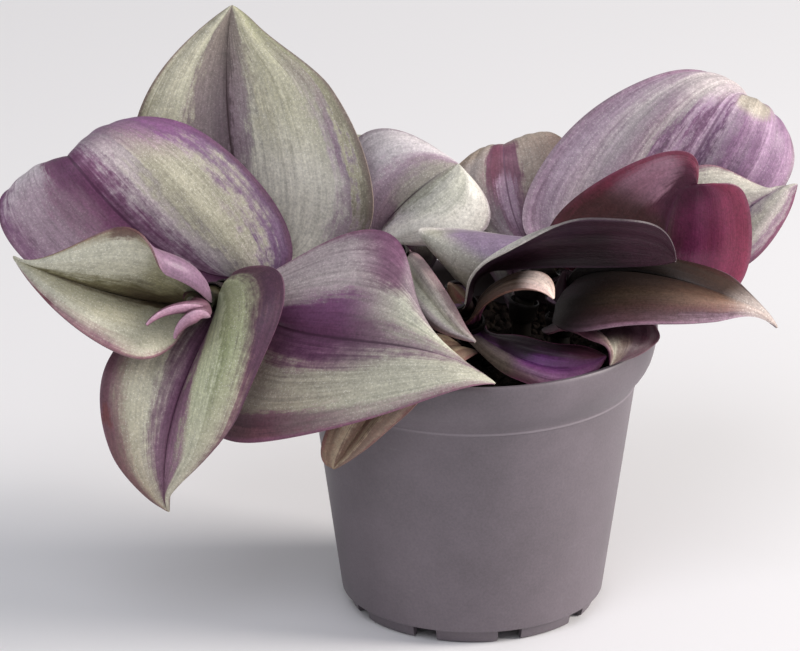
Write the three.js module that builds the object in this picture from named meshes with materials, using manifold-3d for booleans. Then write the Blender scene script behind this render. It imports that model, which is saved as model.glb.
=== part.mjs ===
// A tradescantia in a 6 cm nursery pot: five cuttings stand in the soil, and their broad striped
// leaves fan out over the rim. Millimetres, +Z up, seen from the front along +Y.
import * as THREE from 'three';
import { mergeVertices } from 'three/addons/utils/BufferGeometryUtils.js';
import Module from 'manifold-3d';

const wasm = await Module();
wasm.setup();

// Pot
const POT_RADIUS = 30;
const POT_HEIGHT = 48;
const FOOT_RADIUS = 20;
const FOOT_HEIGHT = 2.2;
const FLOOR = 3.2;
const FOOT_BLOCKS = 9;
const FOOT_NOTCH = 4;
const FOOT_TURN = 17;
const DRAIN_HOLES = 5;
const DRAIN_RADIUS = 2.6;
const POT_SIDES = 54;

// Soil
const SOIL_TOP = 42;
const SOIL_GAP = 0.35;
const SOIL_SIDES = 36;
const SOIL_BUMP = 0.5;
const HOLE_BOTTOM = 33.5;

// Stems: where each stands in the soil, how it bends, and where it ends
const STEM_RADIUS = 1.6;
const STEM_FOOT = 34;
const STEM_SIDES = 10;
const STEM_ROWS = 12;
const STEMS = {
  a: [[-9, 4, SOIL_TOP + 1], [-10, 6, 62], [-43.5, 15.5, 45.5], [-45, -21.5, 59.5]],
  b: [[-7, 14, SOIL_TOP + 1], [-8, 14, 52], [-14, 13, 56], [-15.5, 4.5, 59]],
  c: [[8, 9, SOIL_TOP + 1], [8, 9, 60], [20, 10, 57], [30, 2.5, 52]],
  d: [[0, -3, SOIL_TOP + 1], [0, -3, 48], [-1, -4, 52], [-3, -9, 56]],
  e: [[14, -4, SOIL_TOP + 1], [14, -4, 47], [14, -3, 51], [14, -3.5, 53.5]],
};

// Leaves: a blade is spanned by three lines, its midrib and its two margins, each through the
// points given and all ending in the tip. They start at the sheath round the stem. left and right
// are as seen on the upper face with the tip upwards, and out, where given, is the side of the
// stem that the blade leaves from. bow swells the two halves between midrib
// and margin, and wave is the height, count and start of the ripples along the margins.
const BLADE = 0.7;
const ROWS = 11;
const COLUMNS = 8;
const SHEATH_GAP = 0.55;
const SHEATH_WALL = 0.75;
const SHEATH_LENGTH = 2.4;
const SHEATH_SIDES = 12;
const NECK = 2;
const BUD_NECK = 1.2;
const TIP_WIDTH = 0.45;
const LEAVES = [
  { name: 'leaf_top', stem: 'a', node: 0.62, tip: [-39, 15, 97],
    spine: [[-38, 10.5, 66], [-40, 13, 81.5]],
    left: [[-54, 8, 68], [-52.5, 11.5, 84]],
    right: [[-20.0, 3, 58.9], [-16.3, 2, 70.1], [-23.6, 8, 86.0]],
    bow: [1.5, 1.5], wave: [0.4, 2.5, 0] },
  { name: 'leaf_left', stem: 'a', node: 0.684, tip: [-63, 13, 65],
    spine: [[-53.5, -2.5, 64], [-64, -4, 76.5]],
    left: [[-57.7, 0.5, 50.5], [-72.9, 0, 59.0], [-76.0, 2, 68.5]],
    right: [[-29.4, 0.5, 61.3], [-37.9, 3, 74.6], [-53.1, 5.5, 81.4]],
    bow: [1.5, 1.5], wave: [0.4, 2.5, 0] },
  { name: 'leaf_front', stem: 'a', node: 0.765, tip: [3, -33, 50],
    spine: [[-26, -19, 53], [-11, -28.5, 54.5]],
    left: [[-28, -8, 61], [-14.5, -11, 67.5], [-9.5, -20, 60]],
    right: [[-40, -20, 35.5], [-17.5, -33, 44]],
    bow: [1.5, 1.5], wave: [0.4, 2.5, 0] },
  { name: 'leaf_down', stem: 'a', node: 0.82, tip: [-49, -20, 23],
    spine: [[-42.9, -13, 50.1], [-46.9, -22, 43.9], [-49.4, -23, 33.0]],
    left: [[-35.4, -16, 63.7], [-30.2, -22, 62.9], [-32.7, -27, 54.2], [-39.8, -27, 37.0]],
    right: [[-56.7, -17, 51.1], [-59.0, -24, 37.9]],
    bow: [-0.3, 1.5], wave: [0.4, 2.5, 0], out: [1, 0, -1.2] },
  { name: 'leaf_young', stem: 'a', node: 0.913, tip: [-73, -20, 66.5],
    spine: [[-52.0, -15, 57.1], [-62.5, -21, 62.3]],
    left: [[-52.8, -27, 52.0], [-64, -27, 58]],
    right: [[-44.7, -15, 64.7], [-50.2, -23, 72.8], [-62.2, -24, 70.9]],
    bow: [1.5, 1.5], wave: [0.4, 2.5, 0] },
  { name: 'leaf_bud', stem: 'a', node: 0.985, tip: [-51.3, -29, 58.4],
    spine: [[-48.9, -24.4, 57.0], [-50.4, -27.5, 57.2]],
    left: [[-48.6, -25.2, 55.0], [-50, -28.3, 56.1]],
    right: [[-48.5, -24.4, 59.0], [-49.8, -27.6, 58.6]],
    bow: [0.5, 0.5], wave: [0, 1, 0] },
  { name: 'leaf_centre', stem: 'b', node: 0.955, tip: [-2.5, 10, 71.5],
    spine: [[-13.5, 6.5, 63.5], [-8.5, 7, 68.5]],
    left: [[-20, 10, 66], [-16, 13, 75]],
    right: [[-8.5, 3, 60], [1.5, 3, 62.5]],
    bow: [1.5, 1.5], wave: [0.4, 2.5, 0] },
  { name: 'leaf_curled', stem: 'b', node: 0.6, tip: [0, -22.5, 53],
    spine: [[-9, -11, 58.5], [-4.5, -19, 55.5]],
    left: [[-7, -9, 60.5], [-2.5, -18, 56]],
    right: [[-14, -8, 56.5], [-8.5, -17, 54.5]],
    bow: [1.5, 1.5], wave: [0.4, 2.5, 0] },
  { name: 'leaf_back_left', stem: 'b', node: 0.3, tip: [-24, 44, 64],
    spine: [[-13, 21, 57], [-19, 32, 63]],
    left: [[-24, 18, 60], [-31, 31, 66]],
    right: [[-4, 23, 58], [-9, 36, 64]],
    bow: [1.5, 1.5], wave: [0.4, 2.5, 0] },
  { name: 'leaf_back_mid', stem: 'c', node: 0.08, tip: [3, 46, 49],
    spine: [[6, 21, 54], [5, 34, 55]],
    left: [[-1, 20, 55], [-4, 34, 55]],
    right: [[14, 22, 56], [13, 35, 56]],
    bow: [1.5, 1.5], wave: [0.4, 2.5, 0] },
  { name: 'leaf_small_back', stem: 'c', node: 0.35, tip: [6.5, 26, 64],
    spine: [[6, 12, 64.5], [5, 16, 72]],
    left: [[-3.5, 12, 64], [-1, 15, 71]],
    right: [[17.5, 13, 63.5], [14.5, 18, 73.5]],
    bow: [1.5, 1.5], wave: [0.4, 2.5, 0] },
  { name: 'leaf_back_right', stem: 'c', node: 0.19, tip: [33, 43, 68],
    spine: [[19, 23, 62], [27, 34, 66.5]],
    left: [[13, 27, 62], [20, 40, 67]],
    right: [[29, 20, 61], [36, 32, 66]],
    bow: [1.5, 1.5], wave: [0.4, 2.5, 0] },
  { name: 'leaf_right_big', stem: 'c', node: 0.63, tip: [46, 25, 76],
    spine: [[33, 11.5, 67.5], [40.5, 12.5, 80]],
    left: [[8, 9, 62], [14.5, 13, 75], [30.5, 17, 84.5]],
    right: [[43.5, 12, 60.5], [52.5, 15, 70.5]],
    bow: [1.5, 1.5], wave: [0.4, 2.5, 0] },
  { name: 'leaf_right_tip', stem: 'c', node: 0.8, tip: [52.5, 7, 69],
    spine: [[37.5, 7, 59.5], [45, 6.5, 65.5]],
    left: [[30.3, 8.5, 65.9], [36.7, 8.5, 71.8], [44.9, 8.5, 69.2]],
    right: [[41.5, 7, 53.5], [50, 6.5, 62]],
    bow: [1.5, 1.5], wave: [0.4, 2.5, 0] },
  { name: 'leaf_magenta', stem: 'c', node: 0.965, tip: [35.7, -3, 72.5],
    spine: [[30.5, -1, 58.5], [31.5, -2, 67.5]],
    left: [[42.5, -1, 54.2], [44.8, -2, 63.3], [43.1, -4, 71.7]],
    right: [[13.5, 2, 57.5], [14, 1, 66.5], [27.6, -1, 76.6]],
    bow: [-1, -1], wave: [0.4, 2.5, 0] },
  { name: 'leaf_old', stem: 'd', node: 0.12, tip: [-22.5, -24, 32],
    spine: [[-8.5, -26.5, 51.5], [-16.5, -27.5, 42.5]],
    left: [[-5.4, -31, 49.9], [-13.7, -30.5, 41.2]],
    right: [[-12.5, -22, 52], [-22.5, -25, 41.5]],
    bow: [1, 1], wave: [0.4, 2.5, 0] },
  { name: 'leaf_rim_purple', stem: 'd', node: 0.36, tip: [21, -17, 48.5],
    spine: [[6, -17, 48.5], [13, -20, 47.5]],
    left: [[6, -12, 50], [15, -14.5, 49.5]],
    right: [[4.5, -18.5, 46.5], [13, -22.5, 44.5]],
    bow: [1, 1], wave: [0.4, 2.5, 0] },
  { name: 'leaf_tan', stem: 'd', node: 0.62, tip: [12.3, -22.5, 60.3],
    spine: [[2.7, -16, 59.0], [8.2, -19.5, 62.8]],
    left: [[3.1, -13.6, 58.8], [9.5, -17.4, 62.8]],
    right: [[2.7, -19, 58.9], [7.6, -22.5, 62.0]],
    bow: [0.5, 0.5], wave: [0, 1, 0] },
  { name: 'leaf_boat', stem: 'd', node: 0.95, tip: [32, -15, 64],
    spine: [[5.6, -14, 62.9], [20, -16, 64]],
    left: [[-7.5, -8, 67], [7, -5, 64.5], [22, -7, 66.5]],
    right: [[4.8, -21, 68.7], [21.5, -25, 75]],
    bow: [1, 1], wave: [0.4, 2.5, 0] },
  { name: 'leaf_sill', stem: 'e', node: 0.95, tip: [48.5, -12, 51.5],
    spine: [[20.5, -6.5, 59], [34.5, -12, 59]],
    left: [[21, -4, 60], [36.5, -5, 59.5]],
    right: [[16.5, -22, 55.0], [34, -20, 55.5]],
    bow: [1.5, 1.5], wave: [0.4, 2.5, 0] },
  { name: 'leaf_rim_tip', stem: 'e', node: 0.5, tip: [21.5, -22, 49],
    spine: [[17.5, -13, 52], [20.5, -19.5, 52.5]],
    left: [[27.1, -8, 50.9], [29.5, -14, 50.1]],
    right: [[12, -11, 50.5], [18, -20, 53]],
    bow: [1, 1], wave: [0.4, 2.5, 0] },
];

const vec = ([x, y, z]) => new THREE.Vector3(x, y, z);

// The smooth line through the given points, evenly spaced from t = 0 to t = 1.
function through(points, t) {
  const last = points.length - 1;
  const sum = new THREE.Vector3();
  points.forEach((point, i) => {
    let weight = 1;
    for (let j = 0; j <= last; j++) {
      if (j !== i) weight *= (t * last - j) / (i - j);
    }
    sum.addScaledVector(point, weight);
  });
  return sum;
}

function geometryOf(positions, triangles) {
  const geometry = new THREE.BufferGeometry();
  geometry.setAttribute('position', new THREE.Float32BufferAttribute(positions, 3));
  geometry.setIndex(triangles);
  return geometry;
}

// A closed three.js geometry as a solid, and a solid as a three.js geometry.
function solid(geometry) {
  const plain = geometry.clone();
  plain.deleteAttribute('normal');
  plain.deleteAttribute('uv');
  const merged = mergeVertices(plain, 1e-4);
  const index = merged.index.array;
  const triangles = [];
  for (let i = 0; i < index.length; i += 3) {
    const [a, b, c] = [index[i], index[i + 1], index[i + 2]];
    if (a !== b && b !== c && c !== a) triangles.push(a, b, c);
  }
  const make = (tri) => new wasm.Manifold(new wasm.Mesh({
    numProp: 3,
    vertProperties: Float32Array.from(merged.attributes.position.array),
    triVerts: Uint32Array.from(tri),
  }));
  const made = make(triangles);
  if (made.volume() > 0) return made;
  const turned = [];
  for (let i = 0; i < triangles.length; i += 3) {
    turned.push(triangles[i], triangles[i + 2], triangles[i + 1]);
  }
  return make(turned);
}

function geometry(body) {
  const { vertProperties, triVerts } = body.getMesh();
  return geometryOf(Array.from(vertProperties), Array.from(triVerts));
}

function piece(name, body, colour, roughness) {
  const material = new THREE.MeshStandardMaterial({ color: colour, roughness, metalness: 0 });
  material.flatShading = true;
  const mesh = new THREE.Mesh(geometry(body), material);
  mesh.name = name;
  mesh.geometry.computeVertexNormals();
  return mesh;
}

// A turned body from its half section, as pairs of radius and height.
function turned(section, sides) {
  const points = section.map(([r, z]) => new THREE.Vector2(r, z));
  return new THREE.LatheGeometry(points, sides).rotateX(Math.PI / 2);
}

function rod(radius, from, to, sides) {
  const cylinder = new THREE.CylinderGeometry(radius, radius, to - from, sides);
  return cylinder.rotateX(Math.PI / 2).translate(0, 0, (from + to) / 2);
}

function makePot() {
  const section = [
    [0, FOOT_HEIGHT], [18.8, FOOT_HEIGHT], [18.8, 0], [FOOT_RADIUS, 0], [FOOT_RADIUS + 0.5, 2.2],
    [21.4, 2.6], [26.5, 38.4], [26.7, 39.2], [28.6, 41.8], [29.5, 44.2], [29.9, 46.5],
    [POT_RADIUS, 47.7], [29.7, POT_HEIGHT], [28.9, POT_HEIGHT], [28.6, 44.4], [27.7, 42],
    [25.8, 39.4], [25.6, 38.4], [20.5, 4.4], [19.4, FLOOR], [0, FLOOR],
  ];
  let pot = solid(turned(section, POT_SIDES));
  for (let i = 0; i < FOOT_BLOCKS; i++) {
    const notch = new THREE.BoxGeometry(FOOT_NOTCH, 4, FOOT_HEIGHT + 0.4);
    notch.translate(0, -FOOT_RADIUS + 0.2, FOOT_HEIGHT / 2 - 0.4);
    notch.rotateZ(THREE.MathUtils.degToRad(FOOT_TURN + (i * 360) / FOOT_BLOCKS));
    pot = pot.subtract(solid(notch));
  }
  for (let i = 0; i < DRAIN_HOLES; i++) {
    const hole = rod(DRAIN_RADIUS, FOOT_HEIGHT - 1, FLOOR + 1, 16).translate(12.5, 0, 0);
    hole.rotateZ((i * 2 * Math.PI) / DRAIN_HOLES);
    pot = pot.subtract(solid(hole));
  }
  return pot;
}

// Potting mix: it fills the pot up to a slightly bumpy top, with a plain hole for each stem.
function makeSoil() {
  const section = [
    [0, FLOOR + SOIL_GAP], [19, FLOOR + SOIL_GAP], [20, 4.9], [25, 38.2], [25.2, 39.6],
    [26.9, 41.6], [24.5, SOIL_TOP], [19, SOIL_TOP], [13, SOIL_TOP], [7, SOIL_TOP], [0, SOIL_TOP],
  ];
  const lump = turned(section, SOIL_SIDES);
  lump.deleteAttribute('normal');
  lump.deleteAttribute('uv');
  const merged = mergeVertices(lump, 1e-4);
  const place = merged.attributes.position;
  let seed = 7;
  const random = () => {
    seed = (seed * 16807) % 2147483647;
    return seed / 2147483647;
  };
  for (let i = 0; i < place.count; i++) {
    if (place.getZ(i) > SOIL_TOP - 0.1) {
      place.setZ(i, SOIL_TOP + SOIL_BUMP * (2 * random() - 1));
    }
  }
  let soil = solid(merged);
  for (const stem of Object.values(STEMS)) {
    const hole = rod(STEM_RADIUS + 0.4, HOLE_BOTTOM, SOIL_TOP + 3, 12);
    soil = soil.subtract(solid(hole.translate(stem[0][0], stem[0][1], 0)));
  }
  return soil;
}

const curveOf = (stem) => new THREE.CubicBezierCurve3(...stem.map(vec));

// A stem: round, straight in the soil, then along its curve, with rings of points skinned over.
function makeStem(stem) {
  const curve = curveOf(stem);
  const centres = [vec([stem[0][0], stem[0][1], STEM_FOOT])];
  const tangents = [new THREE.Vector3(0, 0, 1)];
  for (let i = 0; i <= STEM_ROWS; i++) {
    centres.push(curve.getPoint(i / STEM_ROWS));
    tangents.push(curve.getTangent(i / STEM_ROWS));
  }
  const positions = [];
  const triangles = [];
  let side = new THREE.Vector3(1, 0, 0);
  centres.forEach((centre, row) => {
    side = side.clone().addScaledVector(tangents[row], -side.dot(tangents[row])).normalize();
    const up = new THREE.Vector3().crossVectors(tangents[row], side);
    for (let k = 0; k < STEM_SIDES; k++) {
      const angle = (2 * Math.PI * k) / STEM_SIDES;
      const point = centre.clone().addScaledVector(side, STEM_RADIUS * Math.cos(angle));
      point.addScaledVector(up, STEM_RADIUS * Math.sin(angle));
      positions.push(...point.toArray());
    }
  });
  const at = (row, k) => row * STEM_SIDES + (k % STEM_SIDES);
  for (let row = 0; row < centres.length - 1; row++) {
    for (let k = 0; k < STEM_SIDES; k++) {
      triangles.push(at(row, k), at(row, k + 1), at(row + 1, k + 1));
      triangles.push(at(row, k), at(row + 1, k + 1), at(row + 1, k));
    }
  }
  for (let k = 1; k < STEM_SIDES - 1; k++) {
    triangles.push(at(0, 0), at(0, k + 1), at(0, k));
    const top = centres.length - 1;
    triangles.push(at(top, 0), at(top, k), at(top, k + 1));
  }
  return solid(geometryOf(positions, triangles));
}

// A sheath: a short tube that clasps the stem at the leaf's node.
function makeSheath(centre, axis) {
  const inner = STEM_RADIUS + SHEATH_GAP;
  const outer = inner + SHEATH_WALL;
  const half = SHEATH_LENGTH / 2;
  const section = [[inner, -half], [outer, -half], [outer, half], [inner, half], [inner, -half]];
  const tube = turned(section, SHEATH_SIDES);
  const up = new THREE.Vector3(0, 0, 1);
  tube.applyQuaternion(new THREE.Quaternion().setFromUnitVectors(up, axis));
  return solid(tube.translate(...centre.toArray()));
}

// The middle surface of a blade as rows of points from base to tip, with the way each faces.
function surfaceOf(leaf, centre, axis) {
  const spine = leaf.spine.map(vec);
  const left = leaf.left.map(vec);
  const right = leaf.right.map(vec);
  const tip = vec(leaf.tip);
  const out = leaf.out ? vec(leaf.out) : spine[0].clone().sub(centre);
  out.addScaledVector(axis, -out.dot(axis)).normalize();
  const base = centre.clone().addScaledVector(out, STEM_RADIUS + SHEATH_GAP + SHEATH_WALL * 0.6);
  const side = new THREE.Vector3().crossVectors(axis, out);
  if (side.dot(right[0].clone().sub(left[0])) < 0) side.negate();
  const neck = leaf.name === 'leaf_bud' ? BUD_NECK : NECK;
  const lines = [
    [base.clone().addScaledVector(side, -neck), ...left, tip],
    [base, ...spine, tip],
    [base.clone().addScaledVector(side, neck), ...right, tip],
  ];
  const [height, count, start] = leaf.wave;
  const rows = [];
  for (let i = 0; i <= ROWS; i++) {
    const u = i / ROWS;
    const [a, m, b] = lines.map((line) => through(line, u));
    const near = THREE.MathUtils.clamp(u, 0.12, 0.88);
    const across = through(lines[2], near).sub(through(lines[0], near));
    const along = through(lines[1], Math.min(u + 0.01, 1)).sub(through(lines[1], Math.max(u - 0.01, 0)));
    along.normalize();
    across.addScaledVector(along, -across.dot(along)).normalize();
    const face = new THREE.Vector3().crossVectors(across, along);
    a.addScaledVector(across, -TIP_WIDTH * u ** 8);
    b.addScaledVector(across, TIP_WIDTH * u ** 8);
    const swell = Math.sin(Math.PI * u) ** 0.7;
    const row = [];
    for (let j = 0; j <= COLUMNS; j++) {
      const v = (2 * j) / COLUMNS - 1;
      const reach = Math.abs(v);
      const edge = v < 0 ? a : b;
      const phase = count * u + start + (v < 0 ? 0.3 : 0);
      const lift = (v < 0 ? leaf.bow[0] : leaf.bow[1]) * 4 * reach * (1 - reach)
        + height * reach ** 2 * Math.sin(2 * Math.PI * phase);
      row.push(m.clone().lerp(edge, reach).addScaledVector(face, lift * swell));
    }
    rows.push(row);
  }
  return rows;
}

// A blade: the surface given its thickness, with triangles alike on both faces.
function makeBlade(rows) {
  const normal = (i, j) => {
    const up = rows[Math.min(i + 1, ROWS)][j].clone().sub(rows[Math.max(i - 1, 0)][j]);
    const over = rows[i][Math.min(j + 1, COLUMNS)].clone().sub(rows[i][Math.max(j - 1, 0)]);
    return over.cross(up).normalize();
  };
  const positions = [];
  for (const side of [0.5, -0.5]) {
    rows.forEach((row, i) => row.forEach((point, j) => {
      positions.push(...point.clone().addScaledVector(normal(i, j), side * BLADE).toArray());
    }));
  }
  const wide = COLUMNS + 1;
  const under = wide * (ROWS + 1);
  const triangles = [];
  for (let i = 0; i < ROWS; i++) {
    for (let j = 0; j < COLUMNS; j++) {
      const [a, b, c, d] = [i * wide + j, i * wide + j + 1, (i + 1) * wide + j, (i + 1) * wide + j + 1];
      triangles.push(a, b, c, b, d, c);
      triangles.push(under + a, under + c, under + b, under + b, under + c, under + d);
    }
  }
  const wall = (p, q) => triangles.push(p, under + p, q, q, under + p, under + q);
  for (let i = 0; i < ROWS; i++) {
    wall((i + 1) * wide, i * wide);
    wall(i * wide + COLUMNS, (i + 1) * wide + COLUMNS);
  }
  for (let j = 0; j < COLUMNS; j++) {
    wall(j, j + 1);
    wall(ROWS * wide + j + 1, ROWS * wide + j);
  }
  return solid(geometryOf(positions, triangles));
}

function makeLeaf(leaf) {
  const curve = curveOf(STEMS[leaf.stem]);
  const centre = curve.getPoint(leaf.node);
  const axis = curve.getTangent(leaf.node);
  return makeBlade(surfaceOf(leaf, centre, axis)).add(makeSheath(centre, axis));
}

const plant = new THREE.Group();
plant.add(piece('pot', makePot(), 0x6b6167, 0.6));
plant.add(piece('soil', makeSoil(), 0x2a1f1a, 0.95));
for (const [letter, stem] of Object.entries(STEMS)) {
  plant.add(piece(`stem_${letter}`, makeStem(stem), 0x7d7a55, 0.6));
}
for (const leaf of LEAVES) {
  plant.add(piece(leaf.name, makeLeaf(leaf), leaf.name === 'leaf_magenta' ? 0x6e2a44 : 0xa9a797, 0.55));
}

// The origin is on the ground, in the middle of the whole plant's width and depth.
const box = new THREE.Box3().setFromObject(plant);
const middle = box.getCenter(new THREE.Vector3());
plant.position.set(-middle.x, -middle.y, -box.min.z);

export default plant;
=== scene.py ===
# Tradescantia zebrina in a small nursery pot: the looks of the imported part, in its own frame, in metres.
import math

import bmesh
import bpy
import numpy as np
from mathutils import Matrix, Vector, noise


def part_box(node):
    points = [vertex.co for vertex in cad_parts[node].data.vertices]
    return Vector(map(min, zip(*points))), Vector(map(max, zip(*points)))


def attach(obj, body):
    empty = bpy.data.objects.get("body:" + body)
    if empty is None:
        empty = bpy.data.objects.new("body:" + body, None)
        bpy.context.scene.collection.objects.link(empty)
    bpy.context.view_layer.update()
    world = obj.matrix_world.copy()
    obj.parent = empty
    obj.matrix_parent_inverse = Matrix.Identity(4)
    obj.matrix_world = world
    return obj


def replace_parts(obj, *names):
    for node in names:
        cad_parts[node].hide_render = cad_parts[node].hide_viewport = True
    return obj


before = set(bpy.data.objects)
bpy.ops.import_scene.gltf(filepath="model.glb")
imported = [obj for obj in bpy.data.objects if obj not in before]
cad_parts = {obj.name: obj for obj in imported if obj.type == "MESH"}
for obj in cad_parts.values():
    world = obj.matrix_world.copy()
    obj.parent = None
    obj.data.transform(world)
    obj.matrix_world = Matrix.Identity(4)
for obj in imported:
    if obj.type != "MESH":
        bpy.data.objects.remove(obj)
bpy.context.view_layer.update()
low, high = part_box("pot")
POT_AXIS = np.array([(low.x + high.x) / 2, (low.y + high.y) / 2, 0.0])


# Camera, floor and light. The plant stands on a plain pale table and is seen from about 21 degrees above it,
# through a long lens. A broad soft lamp stands high on the right, and a weaker one fills from the left.
VIEW_ANGLE, VIEW_DISTANCE, LENS, SENSOR = math.radians(20.75), 1.0, 277.2, 36
AIM_LEFT, AIM_HEIGHT = .0119, .0473
FLOOR_RADIUS, FLOOR_DROP = 3, .0002
LAMPS = [("key", (1.0, -.1, .5), .5, 15.0, "#FFF8F2"), ("front", (-.2, -.8, .95), .8, 5.0, "#F6F7FF")]
LAMPS_AIM = Vector((0, 0, .05))
SKY_TONE, SKY_STRENGTH = "#F6F6F8", .45


def placed(name, data):
    """A new object in the scene that holds this data."""
    made = bpy.data.objects.new(name, data)
    bpy.context.scene.collection.objects.link(made)
    return made


aim = Vector((POT_AXIS[0] - AIM_LEFT, POT_AXIS[1], AIM_HEIGHT))
back = Vector((0, -math.cos(VIEW_ANGLE), math.sin(VIEW_ANGLE)))
camera = placed("camera", bpy.data.cameras.new("camera"))
camera.data.lens, camera.data.sensor_width = LENS, SENSOR
camera.location = aim + back * VIEW_DISTANCE
camera.rotation_euler = back.to_track_quat("Z", "Y").to_euler()
bpy.context.scene.camera = camera
bpy.context.scene.view_settings.view_transform = "Standard"


def linear(code):
    """The linear colour of an sRGB hex code."""
    parts = [int(code[i:i + 2], 16) / 255 for i in (1, 3, 5)]
    return (*[c / 12.92 if c <= .04045 else ((c + .055) / 1.055) ** 2.4 for c in parts], 1)


def add(tree, kind, inputs=None, stops=None, **settings):
    """Adds a node to a tree, with its settings, its values or links by input, and its colour stops.

    A kind that names no family is a shader's. A node as an input's value stands for its first open output.
    """
    made = tree.nodes.new(kind if "Node" in kind else "ShaderNode" + kind)
    for name, value in settings.items():
        setattr(made, name, value)
    for name, value in (inputs or {}).items():
        if isinstance(value, bpy.types.Node):
            value = next(output for output in value.outputs if output.enabled)
        if isinstance(value, bpy.types.NodeSocket):
            tree.links.new(value, made.inputs[name])
        else:
            made.inputs[name].default_value = value
    if stops:
        row = made.color_ramp.elements
        row[0].position, row[0].color = stops[0]
        row[1].position, row[1].color = stops[-1]
        for at, colour in stops[1:-1]:
            row.new(at).color = colour
    return made


def new_material(name):
    """A new material and its node tree, still empty."""
    made = bpy.data.materials.new(name)
    made.use_nodes = True
    made.node_tree.nodes.clear()
    return made, made.node_tree


table, tree = new_material("painted_table")
paint = add(tree, "BsdfPrincipled", {"Base Color": linear("#EDEDEF"), "Roughness": .6})
add(tree, "OutputMaterial", {"Surface": paint})
bpy.ops.mesh.primitive_circle_add(vertices=96, radius=FLOOR_RADIUS, fill_type="NGON", location=(0, 0, -FLOOR_DROP))
floor = bpy.context.object
floor.name = "table_top"
floor.data.materials.append(table)

for name, place, size, power, tone in LAMPS:
    lamp = placed(name, bpy.data.lights.new(name, "AREA"))
    lamp.data.shape, lamp.data.size, lamp.data.energy = "DISK", size, power
    lamp.data.color = linear(tone)[:3]
    lamp.location = place
    lamp.rotation_euler = (Vector(place) - LAMPS_AIM).to_track_quat("Z", "Y").to_euler()
sky = bpy.data.worlds.new("studio")
sky.use_nodes = True
glow = sky.node_tree.nodes["Background"].inputs
glow["Color"].default_value, glow["Strength"].default_value = linear(SKY_TONE), SKY_STRENGTH
bpy.context.scene.world = sky


# Pot. A nursery pot of injection-moulded polypropylene: a thin tapered wall that flares into a rolled rim, two fine
# lines where the mould's rings meet, five drain holes in the floor and a foot ring cut into nine blocks.
FOOT_BLOCKS, FOOT_TURN, FOOT_CIRCLE, FOOT_HEIGHT, FOOT_NOTCH = 9, -73, .0194, .0003, (.003, .004, .0036)
DRAIN_HOLES, DRAIN_TURN, DRAIN_CIRCLE, DRAIN_HEIGHT, DRAIN_RADIUS, DRAIN_CUT = 5, -90, .0125, .0027, .0026, .004
POT_SIDES, DRAIN_SIDES, SAME_POINT = 216, 40, 3e-6
# The pale band at the mould line is a painted highlight; the dark inside of the wall is painted shade.
MOULD_LINE, MOULD_LINE_HALF, INNER_SHADE_FROM, INNER_SHADE_FULL = .0387, .00018, .0478, .0462
# The wall's outline as radius and height in millimetres: up the outside, over the rim and down the inside.
POT_WALL = [(.0, 2.2), (17.4, 2.2), (18.5, 2.2), (18.75, 2.0), (18.8, 1.7), (18.8, .25), (18.95, 0), (19.8, 0),
            (20, .25), (20.45, 2.12), (20.62, 2.2), (21.15, 2.2), (21.4, 2.4), (21.45, 2.7), (24, 20.9),
            (26.4, 38.1), (26.47, 38.35), (26.6, 38.5), (26.63, 38.9), (26.78, 39.35), (27.35, 40.1), (28.05, 40.95),
            (28.62, 41.85), (29.1, 42.9), (29.45, 44.1), (29.7, 45.3), (29.88, 46.5), (29.97, 47.3), (29.93, 47.75),
            (29.75, 47.97), (29.4, 48.03), (29.1, 47.93), (28.93, 47.6), (28.78, 46.2), (28.5, 44.3), (28.1, 42.9),
            (27.6, 41.9), (26.8, 40.7), (25.9, 39.4), (25.65, 38.9), (25.55, 38.1), (23.2, 22), (20.55, 4.4),
            (20.2, 3.6), (19.5, 3.22), (17, 3.2), (.0, 3.2)]


def spun(name, wall, sides):
    """A closed solid of revolution about the pot's axis, from (radius, height) points in millimetres."""
    corners, rings, faces = [], [], []
    for r, z in wall:
        turns = [k / sides * math.tau for k in range(sides if r else 1)]
        rings.append([len(corners) + k for k in range(len(turns))] * (1 if r else sides))
        corners += [POT_AXIS + (r * .001 * math.cos(t), r * .001 * math.sin(t), z * .001) for t in turns]
    # At a pole the whole ring is one corner, and a face there keeps it only once.
    for low, high in zip(rings, rings[1:]):
        for k in range(sides):
            faces.append(list(dict.fromkeys((low[k - 1], low[k], high[k], high[k - 1]))))
    mesh = bpy.data.meshes.new(name)
    mesh.from_pydata([tuple(corner) for corner in corners], [], faces)
    return placed(name, mesh)


def round_axis(turn, radius, height):
    """A place round the pot's axis, at an angle in degrees, turned to look outwards."""
    return (Matrix.Translation(POT_AXIS) @ Matrix.Rotation(math.radians(turn), 4, "Z")
            @ Matrix.Translation((radius, 0, height)))


def finished(piece, material=None, angle=40):
    """Turns a piece with its modifiers into a plain mesh, smooth but for edges sharper than the angle."""
    shape = bpy.data.meshes.new_from_object(piece.evaluated_get(bpy.context.evaluated_depsgraph_get()))
    piece.modifiers.clear()
    piece.data = shape
    shape.polygons.foreach_set("use_smooth", [True] * len(shape.polygons))
    shape.set_sharp_from_angle(angle=math.radians(angle))
    if material:
        shape.materials.clear()
        shape.materials.append(material)


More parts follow.
